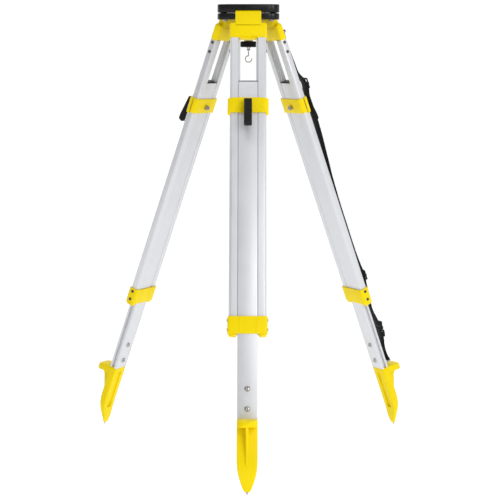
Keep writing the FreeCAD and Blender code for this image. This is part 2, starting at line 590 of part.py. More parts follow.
def make_clamp(leg, at):
    """Two half shells squeeze the rails against the tube when the lever pulls the draw bolt."""
    wide = ("-clamp_half", "clamp_half")
    tall = ("-clamp_foot", "-clamp_top")
    for label, side, rim in (("clamp_yoke", -1, None), ("clamp_plate", 1, "lobe_foot")):
        name = f"{label}_{leg}"

        def span(low, high):
            return (f"mid + {low}", f"mid + {high}") if side > 0 else (f"mid - ({high})", f"mid - ({low})")

        blank = block(name + "_blank", wide, span("clamp_split", "clamp_face"), tall)
        if rim:
            lobes = [block(f"{name}_lobe_{i}", pair(sign, "lobe_inner", "clamp_half"),
                           span("clamp_split", "clamp_face"), (f"-{rim}", "-(clamp_foot - 1)"))
                     for i, sign in enumerate((-1, 1))]
            ridge = block(name + "_ridge", ("-ridge_half", "ridge_half"), span("clamp_split", "clamp_face"),
                          (f"-(pivot_drop + 4)", "-(pivot_drop + 2)"))
            blank = fuse(name + "_joined", blank, *lobes, ridge)
        blank = rounded(name + "_soft", blank, D["clamp_corner"],
                        lambda way, spot: abs(way.z) > 0.9 and abs(spot.x) > D["clamp_half"] - 0.1
                        and abs(spot.y - D["mid"]) > D["clamp_face"] - 0.1)
        hollow = block(name + "_hollow", ("-(rail_half + slide_gap)", "rail_half + slide_gap"),
                       span(0, "rail_thick / 2 + slide_gap"), ("-(lobe_foot + 1)", "-(clamp_top - 1)"))
        pad = block(name + "_pad", ("-pad_half", "pad_half"),
                    span("tube_thick / 2", "rail_thick / 2 + 2 * slide_gap"), tall)
        shell = fuse(name + "_shell", cut(name + "_open", blank, hollow), pad)
        keep(cut(name, shell, cross_bolt(name + "_hole", "pivot_drop", "draw_radius")), name, at)


def make_lever(leg, at):
    """The draw bolt runs from its nut behind the clamp, through the tube, to an eye on the lever's pin."""
    pivot = ("mid + pivot_out", "-pivot_drop")
    nut = cross_bolt(f"draw_nut_{leg}", "pivot_drop", "nut_radius", "-(clamp_face + nut_thick)", "-clamp_face")
    shank = cross_bolt(f"draw_shank_{leg}", "pivot_drop", "draw_radius", "-(clamp_face + nut_thick + 1)",
                       "pivot_out")
    eye = rod(f"draw_eye_{leg}", "X", "eye_radius", ("-eye_half", "eye_half"), pivot)
    hole = rod(f"draw_hole_{leg}", "X", "pin_radius", ("-lever_half", "lever_half"), pivot)
    keep(cut(f"clamp_bolt_{leg}", fuse(f"draw_blank_{leg}", nut, shank, eye), hole), f"clamp_bolt_{leg}", at)

    pin = rod(f"pin_rod_{leg}", "X", "pin_radius", ("-lever_half", "lever_half"), pivot)
    keep(wrap(f"lever_pin_{leg}", pin), f"lever_pin_{leg}", at)

    cam = rod(f"lever_cam_{leg}", "X", "cam_radius", ("-lever_half", "lever_half"), pivot)
    handle = profile(f"lever_handle_{leg}", side_view(LEVER), "lever_half")
    slot = block(f"lever_slot_{leg}", ("-(eye_half + slide_gap)", "eye_half + slide_gap"),
                 ("mid + clamp_face", "mid + pivot_out + eye_radius + slide_gap"),
                 ("-(pivot_drop + eye_radius + slide_gap)", "-clamp_top"))
    bore = rod(f"lever_bore_{leg}", "X", "pin_radius + run_gap", ("-(lever_half + 1)", "lever_half + 1"), pivot)
    keep(cut(f"clamp_lever_{leg}", fuse(f"lever_blank_{leg}", cam, handle), slot, bore), f"clamp_lever_{leg}", at)


def make_foot(leg, at):
    ends = [(depth, (f"-({half})", half), (f"mid + {inner}", f"mid + {outer}"))
            for depth, half, inner, outer in BLADE]
    toe = [taper(f"foot_toe_{leg}_{i}", ends[i], ends[i + 1]) for i in range(len(ends) - 1)]
    plate = profile(f"foot_plate_{leg}", side_view(PEDAL), "pedal_half")
    span = ("-toe_foot", "-shank_top")
    plan = fuse(f"foot_plan_{leg}", rod(f"foot_plan_round_{leg}", "Z", "pedal_round", span, (0, "mid + pedal_centre")),
                block(f"foot_plan_root_{leg}", ("-pedal_round", "pedal_round"), ("mid", "mid + pedal_centre"), span))
    pedal = doc.addObject("Part::Common", f"foot_pedal_{leg}")
    pedal.Base, pedal.Tool = plate, plan
    rib = profile(f"foot_rib_{leg}", side_view(RIB), "rib_half")
    shank = block(f"foot_shank_{leg}", ("-(groove_floor - tube_wall)", "groove_floor - tube_wall"),
                  ("mid - tube_thick / 2 + tube_wall", "mid + tube_thick / 2 - tube_wall"),
                  ("-(foot_top + 1)", "-shank_top"))
    recess = block(f"foot_recess_{leg}", ("-recess_half", "recess_half"), ("mid - bracket_thick", "mid - recess_floor"),
                   ("-recess_foot", "-recess_top"))
    holes = [cross_bolt(f"foot_hole_{leg}_{depth}", depth, "draw_radius") for depth in ("screw_one", "screw_two")]
    axis = (0, "mid - spike_lean")
    socket = rod(f"foot_socket_{leg}", "Z", "spike_pin", ("-(toe_foot + 1)", "-(toe_foot - spike_grip)"), axis)
    keep(cut(f"foot_{leg}", fuse(f"foot_blank_{leg}", *toe, pedal, rib, shank), recess, *holes, socket),
         f"foot_{leg}", at)

    bolts = []
    for depth in ("screw_one", "screw_two"):
        name = f"foot_bolt_{leg}_{depth}"
        bolts += [cross_bolt(name, depth, "draw_radius", -12, 12),
                  cross_bolt(name + "_head", depth, "nut_radius", "tube_thick / 2", "foot_bolt_end"),
                  cross_bolt(name + "_nut", depth, "nut_radius", "-foot_bolt_end", "-tube_thick / 2")]
    keep(fuse(f"foot_bolts_{leg}", *bolts), f"foot_bolts_{leg}", at)

    tip = doc.addObject("Part::Cone", f"spike_tip_{leg}")
    for prop, size in (("Radius1", "spike_point"), ("Radius2", "spike_base"), ("Height", "spike_foot - toe_foot")):
        bind(tip, prop, size)
    place(tip, 0, "mid - spike_lean", "-spike_foot")
    pin = rod(f"spike_pin_{leg}", "Z", "spike_pin", ("-(toe_foot + 1)", "-(toe_foot - spike_grip)"), axis)
    keep(fuse(f"foot_spike_{leg}", tip, pin), f"foot_spike_{leg}", at)


# ---- carry strap on the right leg ----------------------------------------------------------

def make_strap(at):
    ends = [(depth, (f"{middle} - strap_half", f"{middle} + strap_half"),
             (f"mid + {inner}", f"mid + {inner} + strap_thick")) for depth, middle, inner in STRAP]
    webbing = fuse("webbing_runs", *[taper(f"strap_run_{i}", ends[i], ends[i + 1]) for i in range(len(ends) - 1)])
    keep(wrap("strap_webbing", webbing), "strap_webbing", at)

    sliders = [block(f"slider_{i}", ("slider_in", "slider_out"), (f"mid + {inner}", f"mid + {outer}"),
                     (f"-{foot}", f"-{top}")) for i, (inner, outer, top, foot) in enumerate(SLIDERS)]
    keep(cut("strap_sliders", fuse("slider_blanks", *sliders), webbing), "strap_sliders", at)

    halves = []
    for i, stations in enumerate(BUCKLE):
        top, foot = [(depth, (f"{i} - buckle_far", f"buckle_near - {i}"), ("mid + buckle_in", f"mid + {outer}"))
                     for depth, outer in stations]
        halves.append(taper(f"buckle_half_{i}", top, foot))
    keep(cut("strap_buckle", fuse("buckle_blank", *halves), webbing), "strap_buckle", at)

    for label, (face, bar_out, depth, middle) in LOOPS.items():
        low, high = f"{middle} - loop_half", f"{middle} + loop_half"
        plate = block(label + "_plate", (low, high), (f"mid + {face}", f"mid + {face} + loop_sheet"),
                      (f"-({depth} + loop_foot)", f"-({depth} - loop_foot)"))
        bar = rod(label + "_bar", "X", "loop_bar", (low, high), (f"mid + {bar_out}", f"-{depth}"))
        ears = [block(f"{label}_ear_{i}", span, (f"mid + {face}", f"mid + {bar_out}"),
                      (f"-({depth} + loop_bar)", f"-({depth} - loop_bar)"))
                for i, span in enumerate(((low, f"{low} + loop_sheet"), (f"{high} - loop_sheet", high)))]
        keep(cut(label, fuse(label + "_blank", plate, bar, *ears), webbing), label, at)


# ---- the whole tripod ----------------------------------------------------------------------

make_head()
make_head_bolts()
make_arm()
make_screw()
make_hook()
for leg, azimuth in LEGS.items():
    frame = leg_placement(azimuth)
    make_bracket(leg, frame)
    make_rail(leg, frame, -1, "rail_a")
    make_rail(leg, frame, 1, "rail_b")
    make_side_screws(leg, frame)
    make_collar(leg, frame)
    make_tube(leg, frame)
    make_clamp(leg, frame)
    make_lever(leg, frame)
    make_foot(leg, frame)
make_strap(leg_placement(LEGS["right"]))

doc.recompute()
broken = [thing.Name for thing in doc.Objects if {"Invalid", "Error"} & set(thing.State)]
if broken:
    raise RuntimeError(f"these did not rebuild: {broken}")
os.makedirs("parts", exist_ok=True)
for piece in pieces:
    shape = piece.Shape
    if shape.isNull() or not shape.isValid() or not shape.Solids:
        raise RuntimeError(f"{piece.Label} is not a sound solid")
    shape.exportStep(f"parts/{piece.Label}.step")
    box = shape.BoundBox
    print(f"{piece.Label:22s} solids {len(shape.Solids):2d}  volume {shape.Volume:10.0f}  "
          f"x {box.XMin:7.1f} {box.XMax:7.1f}  y {box.YMin:7.1f} {box.YMax:7.1f}  z {box.ZMin:8.1f} {box.ZMax:8.1f}")
print(len(pieces), "pieces")
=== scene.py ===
import math
import bmesh
import bpy
from mathutils import Matrix, Vector


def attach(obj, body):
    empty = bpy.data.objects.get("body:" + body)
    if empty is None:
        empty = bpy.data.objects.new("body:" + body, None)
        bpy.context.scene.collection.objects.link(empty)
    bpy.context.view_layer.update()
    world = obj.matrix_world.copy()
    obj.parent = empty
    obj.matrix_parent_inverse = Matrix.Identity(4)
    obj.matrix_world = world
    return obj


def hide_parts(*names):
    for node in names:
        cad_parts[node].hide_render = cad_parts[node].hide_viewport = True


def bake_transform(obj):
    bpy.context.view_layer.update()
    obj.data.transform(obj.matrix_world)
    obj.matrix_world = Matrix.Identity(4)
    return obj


# A surveyor's telescopic tripod on a pale studio floor. Shapes are written in millimetres in the
# frame of the piece they belong to, and are scaled to metres when their mesh is made. In a leg's
# frame, x runs across the leg, y outward from its middle plane, and z up along it from the hinge pin.

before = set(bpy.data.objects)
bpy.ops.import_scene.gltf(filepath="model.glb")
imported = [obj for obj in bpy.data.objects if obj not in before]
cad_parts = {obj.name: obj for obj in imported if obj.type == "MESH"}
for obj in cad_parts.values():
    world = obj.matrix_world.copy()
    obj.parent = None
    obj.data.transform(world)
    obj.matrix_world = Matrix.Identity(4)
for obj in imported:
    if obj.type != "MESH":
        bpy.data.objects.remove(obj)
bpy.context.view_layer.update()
MM = 0.001
LEAN = math.radians(20.95)
AZIMUTH = {"front": -90, "right": 30, "left": 150}
FLOOR = -1.5            # metres: below the spikes at the legs' full reach, so that it hides no pose
HINGE = (44, -19)       # the hinge pins' distance from the head's axis, and their height
MIDDLE = 1.6            # a leg's middle plane, outward of its hinge pin
HINGE_PIN = 3.05        # radius of the hinge pins' seats
BORE = 26               # radius of the head's hole
LEVER_PIN = (24.7, -219.5)
LOOPS = {"strap_top_loop": (48, 13, 8, 17.2, "upper_leg"),
         "strap_foot_loop": (884, 0, 8.8, 22.5, "lower_leg")}


# ---- materials -----------------------------------------------------------------------------

def material(name, color, roughness, metallic=0.0, coat=0.0, grain=(400, 400, 400), bump=0.1,
             bump_size=0.0001, spread=0.08, tint=0.06, sheen=0.0, coords="own", wear=0.0, shine=0.5):
    """A principled surface with noise in its colour, its roughness and its relief."""
    mat = bpy.data.materials.new(name)
    mat.use_nodes = True
    nodes, links = mat.node_tree.nodes, mat.node_tree.links
    shader = nodes["Principled BSDF"]
    shader.inputs["Metallic"].default_value = metallic
    shader.inputs["Coat Weight"].default_value = coat
    shader.inputs["Coat Roughness"].default_value = 0.12
    shader.inputs["Specular IOR Level"].default_value = shine
    shader.inputs["Sheen Weight"].default_value = sheen
    if coords == "UV":
        place = nodes.new("ShaderNodeTexCoord").outputs["UV"]
    else:
        own = nodes.new("ShaderNodeAttribute")
        own.attribute_name = "own_frame"
        place = own.outputs["Vector"]
    scale = nodes.new("ShaderNodeMapping")
    scale.inputs["Scale"].default_value = grain
    links.new(place, scale.inputs["Vector"])
    fine = nodes.new("ShaderNodeTexNoise")
    fine.inputs["Scale"].default_value = 1.0
    fine.inputs["Detail"].default_value = 4.0
    links.new(scale.outputs["Vector"], fine.inputs["Vector"])
    broad = nodes.new("ShaderNodeTexNoise")
    broad.inputs["Scale"].default_value = 22.0
    broad.inputs["Detail"].default_value = 3.0
    around = nodes.new("ShaderNodeTexCoord")
    links.new(around.outputs["Object"], broad.inputs["Vector"])

    def between(source, low, high):
        span = nodes.new("ShaderNodeMapRange")
        span.inputs["From Min"].default_value = 0.3
        span.inputs["From Max"].default_value = 0.7
        span.inputs["To Min"].default_value = low
        span.inputs["To Max"].default_value = high
        links.new(source, span.inputs["Value"])
        return span.outputs["Result"]

    mix = nodes.new("ShaderNodeMix")
    mix.data_type = "RGBA"
    mix.inputs["A"].default_value = [c * (1 - tint) for c in color] + [1]
    mix.inputs["B"].default_value = [min(1, c * (1 + tint) + wear) for c in color] + [1]
    links.new(between(broad.outputs["Fac"], 0, 1), mix.inputs["Factor"])
    links.new(mix.outputs["Result"], shader.inputs["Base Color"])
    both = nodes.new("ShaderNodeMath")
    both.operation = "ADD"
    links.new(between(fine.outputs["Fac"], roughness - spread, roughness + spread), both.inputs[0])
    links.new(between(broad.outputs["Fac"], -spread / 2, spread / 2), both.inputs[1])
    links.new(both.outputs["Value"], shader.inputs["Roughness"])
    relief = nodes.new("ShaderNodeBump")
    relief.inputs["Strength"].default_value = bump
    relief.inputs["Distance"].default_value = bump_size
    links.new(fine.outputs["Fac"], relief.inputs["Height"])
    links.new(relief.outputs["Normal"], shader.inputs["Normal"])
    return mat


def woven(name, color):
    """Flat nylon webbing: ribs across it and a fine plain weave, from a UV map in millimetres."""
    mat = material(name, color, 0.72, sheen=0.08, grain=(0.9, 0.9, 0.9), coords="UV", bump=0.3, shine=0.2)
    nodes, links = mat.node_tree.nodes, mat.node_tree.links
    place = nodes.new("ShaderNodeTexCoord")
    heights = []
    for axis, pitch in (("Y", 1.4), ("X", 1.9)):
        wave = nodes.new("ShaderNodeTexWave")
        wave.bands_direction = axis
        wave.inputs["Scale"].default_value = 0.314 / pitch
        wave.inputs["Distortion"].default_value = 0.6
        wave.inputs["Detail Scale"].default_value = 1.5
        links.new(place.outputs["UV"], wave.inputs["Vector"])
        heights.append(wave.outputs["Fac"])
    weave = nodes.new("ShaderNodeMath")
    weave.operation = "MULTIPLY"
    for value, socket in zip(heights, weave.inputs):
        links.new(value, socket)
    relief = nodes.new("ShaderNodeBump")
    relief.inputs["Strength"].default_value = 0.9
    relief.inputs["Distance"].default_value = 0.0004
    links.new(weave.outputs["Value"], relief.inputs["Height"])
    shader = nodes["Principled BSDF"]
    links.new(shader.inputs["Normal"].links[0].from_socket, relief.inputs["Normal"])
    links.new(relief.outputs["Normal"], shader.inputs["Normal"])
    return mat


MATERIALS = {
    "head_black": material("head_black", (0.006, 0.006, 0.0065), 0.3, coat=0.12, bump=0.25, tint=0.2,
                           grain=(700, 700, 700), wear=0.001, shine=0.18),
    "yellow_plastic": material("yellow_plastic", (0.86, 0.66, 0.0), 0.42, coat=0.02, bump=0.12, tint=0.025,
                               grain=(900, 900, 900), shine=0.12),
    "leg_aluminium": material("leg_aluminium", (0.66, 0.67, 0.695), 0.46, metallic=0.5, bump=0.16, tint=0.02,
                              grain=(1500, 1500, 9), bump_size=0.00004, spread=0.06),
    "black_plastic": material("black_plastic", (0.006, 0.006, 0.0065), 0.4, bump=0.3, tint=0.2,
                              grain=(1100, 1100, 1100), wear=0.001, shine=0.2),
    "steel": material("steel", (0.42, 0.4, 0.385), 0.3, metallic=1.0, bump=0.15, tint=0.12,
                      grain=(900, 900, 900)),
    "dark_steel": material("dark_steel", (0.09, 0.088, 0.085), 0.4, metallic=0.8, bump=0.15, tint=0.12,
                           grain=(900, 900, 900)),
    "webbing": woven("webbing", (0.006, 0.006, 0.0065)),
}


# ---- shapes: each is (vertices, faces), in millimetres ---------------------------------------

def moved(shape, x=0, y=0, z=0, turn=None):
    m = Matrix.Translation((x, y, z)) @ (turn or Matrix.Identity(4))
    return [m @ Vector(v) for v in shape[0]], shape[1]


def joined(*shapes):
    verts, faces = [], []
    for more_verts, more_faces in shapes:
        base = len(verts)
        verts += more_verts
        faces += [[base + i for i in face] for face in more_faces]
    return verts, faces


def mirrored(shape):
    return [Vector((-v[0], v[1], v[2])) for v in shape[0]], [face[::-1] for face in shape[1]]


def both_sides(shape):
    return joined(shape, mirrored(shape))


def shape_of(obj):
    """The shape an object evaluates to; the object is then removed."""
    bpy.context.scene.collection.objects.link(obj)
    bpy.context.view_layer.update()
    mesh = bpy.data.meshes.new_from_object(obj.evaluated_get(bpy.context.evaluated_depsgraph_get()))
    work = bmesh.new()
    work.from_mesh(mesh)
    bmesh.ops.remove_doubles(work, verts=work.verts, dist=0.001)
    bmesh.ops.recalc_face_normals(work, faces=work.faces)
    work.verts.index_update()
    shape = [v.co.copy() for v in work.verts], [[v.index for v in face.verts] for face in work.faces]
    work.free()
    bpy.data.meshes.remove(mesh)
    bpy.data.objects.remove(obj)
    return shape


AXIS = {"z": Matrix.Identity(4),
        "x": Matrix(((0, 0, 1, 0), (1, 0, 0, 0), (0, 1, 0, 0), (0, 0, 0, 1))),
        "y": Matrix(((0, 1, 0, 0), (0, 0, 1, 0), (1, 0, 0, 0), (0, 0, 0, 1)))}


def slab(loops, low, high, bevel=0.6, axis="z", steps=2):
    """A plate with softened edges, from closed loops: the outline first, then its holes. On axis x the
    loops are in (y, z), and on axis y they are in (z, x)."""
    curve = bpy.data.curves.new("outline", "CURVE")
    curve.dimensions = "2D"
    curve.fill_mode = "BOTH"
    for loop in loops:
        spline = curve.splines.new("POLY")
        spline.points.add(len(loop) - 1)
        spline.use_cyclic_u = True
        for point, (x, y) in zip(spline.points, loop):
            point.co = (x, y, 0, 1)
    curve.extrude = (high - low) / 2 - bevel
    curve.bevel_depth = bevel
    curve.bevel_resolution = steps - 1
    curve.offset = -bevel
    shape = moved(shape_of(bpy.data.objects.new("outline", curve)), z=(low + high) / 2)
    return moved(shape, turn=AXIS[axis])


def lathe(profile, steps=40, axis="z"):
    """A turned shape from (radius, height) points, closed at both ends."""
    rings = [[(r * math.cos(a), r * math.sin(a), z) for a in (math.tau * i / steps for i in range(steps))]
             for r, z in profile]
    return moved(loft(rings), turn=AXIS[axis])


def loft(rings, closed=False):
    count = len(rings[0])
    verts = [Vector(p) for ring in rings for p in ring]
    faces = []
    last = len(rings) if closed else len(rings) - 1
    for r in range(last):
        a, b = r * count, (r + 1) % len(rings) * count
        faces += [[a + i, a + (i + 1) % count, b + (i + 1) % count, b + i] for i in range(count)]
    if not closed:
        faces += [list(range(count))[::-1], [len(verts) - count + i for i in range(count)]]
    return verts, faces


def sweep(path, radius=1.0, steps=12, closed=False):
    """A round wire along a path."""
    path = [Vector(p) for p in path]
    rings = []
    for i, point in enumerate(path):
        before = path[i - 1] if i or closed else point
        after = path[(i + 1) % len(path)] if i + 1 < len(path) or closed else point
        along = (after - before).normalized()
        side = along.cross(Vector((0.3, 1, 0.1))).normalized()
        other = along.cross(side)
        rings.append([point + (side * math.cos(a) + other * math.sin(a)) * radius
                      for a in (math.tau * k / steps for k in range(steps))])
    return loft(rings, closed)


def carve(shape, *cutters):
    """A shape with others taken away from it, one after another."""
    for cutter in cutters:
        base, tool = as_object("carving", shape), as_object("cutter", cutter)
        bpy.context.scene.collection.objects.link(tool)
        cutting = base.modifiers.new("cut", "BOOLEAN")
        cutting.object = tool
        cutting.operation = "DIFFERENCE"
        cutting.solver = "EXACT"
        shape = shape_of(base)
        bpy.data.objects.remove(tool)
    return shape


def as_object(name, shape, scale=1.0):
    mesh = bpy.data.meshes.new(name)
    mesh.from_pydata([tuple(Vector(v) * scale) for v in shape[0]], [], shape[1])
    mesh.validate()
    mesh.update()
    return bpy.data.objects.new(name, mesh)


def arc(x, y, radius, start, end, steps=6):
    """Points of an arc, between two angles in degrees."""
    angles = [math.radians(start + (end - start) * i / steps) for i in range(steps + 1)]
    return [(x + radius * math.cos(a), y + radius * math.sin(a)) for a in angles]


def circle(radius, x=0, y=0, steps=32):
    return arc(x, y, radius, 0, 360 - 360 / steps, steps - 1)


def oblong(x1, x2, y1, y2, radius=2.0, steps=5):
    """A rectangle with round corners; radius is one number, or four from the high-x, high-y corner on."""
    r = radius if isinstance(radius, (tuple, list)) else [radius] * 4
    return (arc(x2 - r[0], y2 - r[0], r[0], 0, 90, steps)
            + arc(x1 + r[1], y2 - r[1], r[1], 90, 180, steps)
            + arc(x1 + r[2], y1 + r[2], r[2], 180, 270, steps)
            + arc(x2 - r[3], y1 + r[3], r[3], 270, 360, steps))


def ring(loop, z):
    return [(x, y, z) for x, y in loop]


def hexagon(radius, x=0, y=0, turn=0):
    return [(x + radius * math.cos(a), y + radius * math.sin(a))
            for a in (math.radians(60 * i + turn) for i in range(6))]


def hex_head(low, high, radius, flip=False):
    """A bolt's hexagonal head with its washer face and its chamfered outer corners."""
    prism = slab([hexagon(radius)], low, high, 0.35, "z")
    disc = lathe([(radius * 0.55, low - 0.01), (radius * 0.86, low), (radius * 0.86, high - 0.2),
                  (radius * 0.8, high + 0.12)])
    shape = joined(prism, disc)
    return moved(shape, turn=Matrix.Rotation(math.pi, 4, "X")) if flip else shape


def button_head(radius, height):
    """A low domed screw head with a hexagonal socket, standing on z = 0."""
    dome = [(radius, 0), (radius, height * 0.25)]
    dome += [(radius * math.cos(a), height * (0.25 + 0.75 * math.sin(a)))
             for a in (math.radians(k) for k in (20, 38, 55, 68))]
    return carve(lathe(dome, 28), slab([hexagon(radius * 0.42)], height * 0.35, height * 2, 0.01))


# ---- pieces --------------------------------------------------------------------------------

def leg_matrix(azimuth):
    turn = Matrix.Rotation(math.radians(azimuth - 90), 4, "Z")
    hinge = Matrix.Translation((0, HINGE[0] * MM, HINGE[1] * MM))
    return turn @ hinge @ Matrix.Rotation(LEAN, 4, "X") @ Matrix.Translation((0, MIDDLE * MM, 0))


LEG = {leg: leg_matrix(azimuth) for leg, azimuth in AZIMUTH.items()}


def placed(name, mesh, matrix=None):
    """An object at the origin whose mesh holds its place, so that its box is the true one."""
    mesh = mesh.copy()
    mesh.transform(matrix or Matrix.Identity(4))
    obj = bpy.data.objects.new(name, mesh)
    bpy.context.scene.collection.objects.link(obj)
    return obj


def show(name, mesh, body, nodes=(), matrix=None):
    """Puts a mesh in its place, on its body, and hides the CAD nodes that it stands in for."""
    obj = placed(name, mesh, matrix)
    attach(obj, body)
    if nodes:
        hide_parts(*nodes)
    return obj


def finished(name, shape, look, sharp=35):
    obj = as_object(name, shape, MM)
    mesh = obj.data
    bpy.data.objects.remove(obj)
    mesh.polygons.foreach_set("use_smooth", [True] * len(mesh.polygons))
    mesh.set_sharp_from_angle(angle=math.radians(sharp))
    own = mesh.attributes.new("own_frame", "FLOAT_VECTOR", "POINT")
    for value, vertex in zip(own.data, mesh.vertices):
        value.vector = vertex.co
    mesh.materials.append(MATERIALS[look])
    return mesh


def head_piece(name, shape, body, slot, *nodes):
    return show(name, finished(name, shape, slot), body, nodes or (name,))


def leg_piece(name, shape, part, slot, look=None):
    """The same piece on each leg, in place of the CAD node of that name.

    part is upper_leg, lower_leg or lever, and look is the material where it isn't the slot's own."""
    mesh = finished(name, shape, look or slot)
    for leg in AZIMUTH:
        show(f"{name}_piece_{leg}", mesh, f"{part}_{leg}", (f"{name}_{leg}",), LEG[leg])


# ---- head ----------------------------------------------------------------------------------

def head_outline(notched):
    """The head's plan: three flat sides and three round lobes."""
    points = []
    for azimuth in (-90, 30, 150):
        side = arc(51.1, 29.5, 17, -28.7, 87, 16) + arc(48.5, 47, 3, 0, 90, 4)
        if notched:
            side += [(28.9, 50), (28.9, 35.5), (-28.9, 35.5), (-28.9, 50)]
        side += arc(-48.5, 47, 3, 90, 180, 4)
        turn = Matrix.Rotation(math.radians(azimuth - 90), 2)
        points += [tuple(turn @ Vector(p)) for p in side]
    return points


def around_head(shape, azimuths):
    return joined(*[moved(shape, turn=Matrix.Rotation(math.radians(a - 90), 4, "Z")) for a in azimuths])


def build_head():
    hole = circle(BORE, steps=72)
    top = slab([head_outline(False), hole], -17.6, 0, 1.1, steps=3)
    slots = around_head(slab([oblong(-28.9, 28.9, 35.5, 60, 0.5, 2)], -20, -12.5, 0.01), (-90, 30, 150))
    grooves = around_head(slab([circle(HINGE_PIN, *HINGE)], -47.5, 47.5, 0.01, "x"), (-90, 30, 150))
    head_piece("head_top", carve(top, slots, grooves), "head", "head_black", "head_plate")
    head_piece("head_lower", carve(slab([head_outline(True), hole], -33, -19.6, 1.1, steps=3), grooves),
               "head", "head_black", "hinge_clamp_plate")
    pin = moved(lathe([(2.4, -47), (3, -46.4), (3, 46.4), (2.4, 47)], 24, "x"), y=HINGE[0], z=HINGE[1])
    head_piece("hinge_rods", around_head(pin, (-90, 30, 150)), "head", "steel", "hinge_pins")

    bolt = moved(joined(hex_head(33.4, 37, 5, flip=True), lathe([(5.6, -33.5), (5.6, -33)], 32)), y=59)
    pivot = moved(joined(lathe([(4.7, -36.7), (5, -36.4), (5, -33)], 32), hex_head(41.3, 45.2, 5, flip=True),
                         lathe([(3, -46), (3, -33)], 24)), y=59)
    head_piece("head_screws", joined(around_head(bolt, (-30, 210)), pivot), "head", "steel", "head_bolts")


def build_screw():
    wide = (arc(0, 59, 8, 0, 180, 12) + [(-8, 44), (-10, 42), (-14, 41)] + arc(-10, -17, 4, 180, 270, 4)
            + arc(10, -17, 4, 270, 360, 4) + [(14, 41), (10, 42), (8, 44)])
    track = arc(0, 8.4, 8.05, 0, 180, 12) + arc(0, -8.4, 8.05, 180, 360, 12)
    strip = slab([wide, track, circle(3.05, 0, 59)], -41, -37, 0.5)
    head_piece("arm_strip", strip, "arm", "steel", "screw_arm")
    bushing = lathe([(6.1, -43.6), (11.4, -43.8), (12, -43.3), (12, -41.8), (11.6, -41.3), (8, -41.3),
                     (8, -36.7), (10.6, -36.7), (11, -36.4), (11, -35.5), (10.5, -35.2), (6.1, -35.2)], 48)
    head_piece("bushing", bushing, "bushing", "steel", "slot_bushing")
    sleeve = lathe([(6.1, -79.6), (9.6, -79.7), (10, -79.3), (10, -61), (9.2, -60.4), (9.2, -57.4),
                    (8.8, -57), (6.1, -57)], 48)
    head_piece("sleeve", sleeve, "sleeve", "steel", "screw_sleeve")

    pitch, turns = 25.4 / 11, 48
    heights = [-24 + 23 * i / 120 for i in range(121)]

    def thread(z, angle):
        phase = (z / pitch - angle / math.tau) % 1
        depth = 1.25 * abs(2 * phase - 1)
        return 7.93 - max(0.0, min(depth, 1.15)) - max(0.0, z + 2.4) * 0.9
    angles = [math.tau * k / turns for k in range(turns)]
    rings = [[(thread(z, a) * math.cos(a), thread(z, a) * math.sin(a), z) for a in angles] for z in heights]
    spindle = lathe([(4.4, -94), (5.7, -93.8), (6, -93), (6, -24.6), (6.6, -24)], 40)
    lug = slab([oblong(-2.5, 2.5, -101, -93.5, (0.3, 0.3, 2.3, 2.3), 5)], 1.6, 3.6, 0.3, "x")
    pin = moved(lathe([(1, -3.9), (1, 3.9)], 16, "x"), z=-98.5)
    head_piece("centre_screw", joined(loft(rings), spindle, both_sides(lug), pin), "screw", "steel",
               "instrument_screw")

    teeth = 60
    stations = [(-93, 13.6, 0), (-93, 15.8, 0), (-92.2, 17.1, 0.2), (-91.3, 17.6, 1), (-81.7, 17.6, 1),
                (-80.8, 17.1, 0.2), (-80, 15.8, 0), (-80, 10, 0)]
    rings = []
    for z, radius, share in stations:
        level = []
        for k in range(teeth * 4):
            reach = radius + 0.4 * share * (1 if k % 4 in (1, 2) else -1)
            angle = math.tau * k / teeth / 4
            level.append((reach * math.cos(angle), reach * math.sin(angle), z))
        rings.append(level)
    head_piece("knob", loft(rings), "screw", "black_plastic", "screw_knob")

    eye = sweep([(0, y, z) for y, z in circle(2.6, 0, -98.8, 24)], 1.0, 12, True)
    bend = [(x, 0, z) for x, z in arc(0, -119, 7, 370, 90, 26)]
    wire = sweep(bend + [(0, 0, -110), (0, 0, -102.2)], 1.2, 12)
    head_piece("line_hook", joined(eye, wire), "hook", "steel", "plumb_hook")


# ---- legs ----------------------------------------------------------------------------------

def build_bracket():
    """The moulded bracket that joins a leg's two rails to its hinge pin."""
    half, thick, corner = 41, 8, 5

    def level(inset, z):
        w, n = half - inset, thick - inset
        return ring(oblong(-w, w, -n, n, max(corner - inset * 0.4, 0.6), 6), z)
    block = loft([level(0.9, -61.5), level(0.3, -61.3), level(0, -60.8), level(0, -31), level(0.4, -28.2),
                  level(1.6, -26.1), level(3.4, -25), level(5, -24.5)])
    notch = slab([oblong(-19, 19, 4, 20, 0.5, 2)], -65, -58.5, 0.01)
    neck = slab([[(-7.6, 0), (-7.6, -18), (-8, -29), (-8, -33), (8, -33), (8, -25), (4.4, -5.5), (4.4, 0)]],
                -28.3, 28.3, 1.0, "x", 3)
    knuckle = slab([circle(6, -1.6, 0, 36)], -28.3, 28.3, 0.8, "x")
    leg_piece("leg_bracket", joined(carve(block, notch), neck, knuckle), "upper_leg", "yellow_plastic")


def build_rails():
    section = ([(17, 3), (17, -3), (21.4, -3), (21.4, -8.5), (22.2, -9.3)]
               + arc(33.5, -3.3, 6, 270, 360, 8) + arc(33.5, 3.3, 6, 0, 90, 8)
               + [(22.2, 9.3), (21.4, 8.5), (21.4, 3)])
    rail = slab([section], -712, -61.5, 0.25)
    leg_piece("rail_b", rail, "upper_leg", "leg_aluminium")
    leg_piece("rail_a", mirrored(rail), "upper_leg", "leg_aluminium")
    turn = Matrix.Rotation(math.pi / 2, 4, "Y")
    screw = moved(button_head(3.6, 1.5), turn=turn)
    seats = ((68, 39.5), (90, 39.5), (686, 41.9), (706, 41.9))
    heads = [moved(screw, face, 0, -depth) for depth, face in seats]
    leg_piece("side_screws", both_sides(joined(*heads)), "upper_leg", "steel", "dark_steel")


